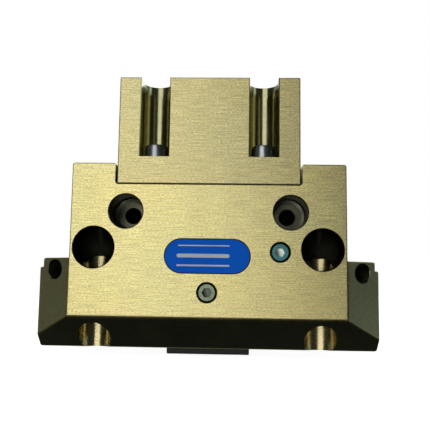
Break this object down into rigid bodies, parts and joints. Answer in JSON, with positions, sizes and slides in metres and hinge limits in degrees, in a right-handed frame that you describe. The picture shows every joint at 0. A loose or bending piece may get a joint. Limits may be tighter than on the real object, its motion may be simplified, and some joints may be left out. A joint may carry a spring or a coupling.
{
  "type": "pneumatic gripper",
  "caption": "Parallel pneumatic gripper: stepped, bevelled aluminium housing with sliding base jaws below and a spring housing on top that helps it close.",
  "frame": {"origin": "middle of the centre cover's outer face, the lowest point of the gripper with its jaws pointing down", "axes": "+X along the jaws' travel, +Y from the front face with the air ports to the back, +Z from the jaws to the spring housing"},
  "size_m": [0.1, 0.05, 0.0822],
  "materials": {
    "housing_anodised": "brushed, hard anodised, champagne to olive",
    "spring_housing_anodised": "brushed, hard anodised, slightly greener",
    "jaw_steel": "ground",
    "wedge_steel": "hardened, dark",
    "piston_aluminium": "turned",
    "screw_steel": "blackened, slightly shiny",
    "plug_steel": "zinc plated",
    "spring_steel": "drawn wire",
    "seal_rubber": "matt",
    "magnet_ring": "plastic-bonded magnet",
    "cover_black": "black, satin",
    "label_blue": "printed foil"
  },
  "bodies": {
    "body": {"housing": "housing_anodised", "spring_housing": "spring_housing_anodised", "rod_seal": "seal_rubber", "spring_housing_seal": "seal_rubber", "air_transfer_seal": "seal_rubber", "outer_spring": "spring_steel", "inner_spring": "spring_steel", "centre_cover": "cover_black", "cover_screw_1": "screw_steel", "cover_screw_2": "screw_steel", "cover_screw_3": "screw_steel", "cover_screw_4": "screw_steel", "spring_housing_screw_1": "screw_steel", "spring_housing_screw_2": "screw_steel", "spring_housing_screw_3": "screw_steel", "spring_housing_screw_4": "screw_steel", "label_plate": "label_blue", "upper_port_plug": "plug_steel", "lower_port_plug": "plug_steel", "left_passage_plug": "plug_steel", "right_passage_plug": "plug_steel"},
    "drive": {"piston": "piston_aluminium", "wedge_hook": "wedge_steel", "piston_seal": "seal_rubber", "piston_magnet": "magnet_ring", "piston_screw": "screw_steel"},
    "left_jaw": {"base_jaw_left": "jaw_steel"},
    "right_jaw": {"base_jaw_right": "jaw_steel"}
  },
  "joints": [
    {"name": "piston_slide", "type": "slide", "parent": "body", "child": "drive", "axis": [0, 0, 1], "range_m": [0, 0.012], "stiffness_N_per_m": 8000, "springref_m": -0.01, "deforming": ["outer_spring", "inner_spring"]},
    {"name": "left_jaw_slide", "type": "slide", "parent": "body", "child": "left_jaw", "axis": [-1, 0, 0], "range_m": [0, 0.01]},
    {"name": "right_jaw_slide", "type": "slide", "parent": "body", "child": "right_jaw", "axis": [1, 0, 0], "range_m": [0, 0.01]}
  ],
  "couplings": [
    {"joint": "left_jaw_slide", "follows": "piston_slide", "ratio": 0.83333},
    {"joint": "right_jaw_slide", "follows": "piston_slide", "ratio": 0.83333}
  ]
}
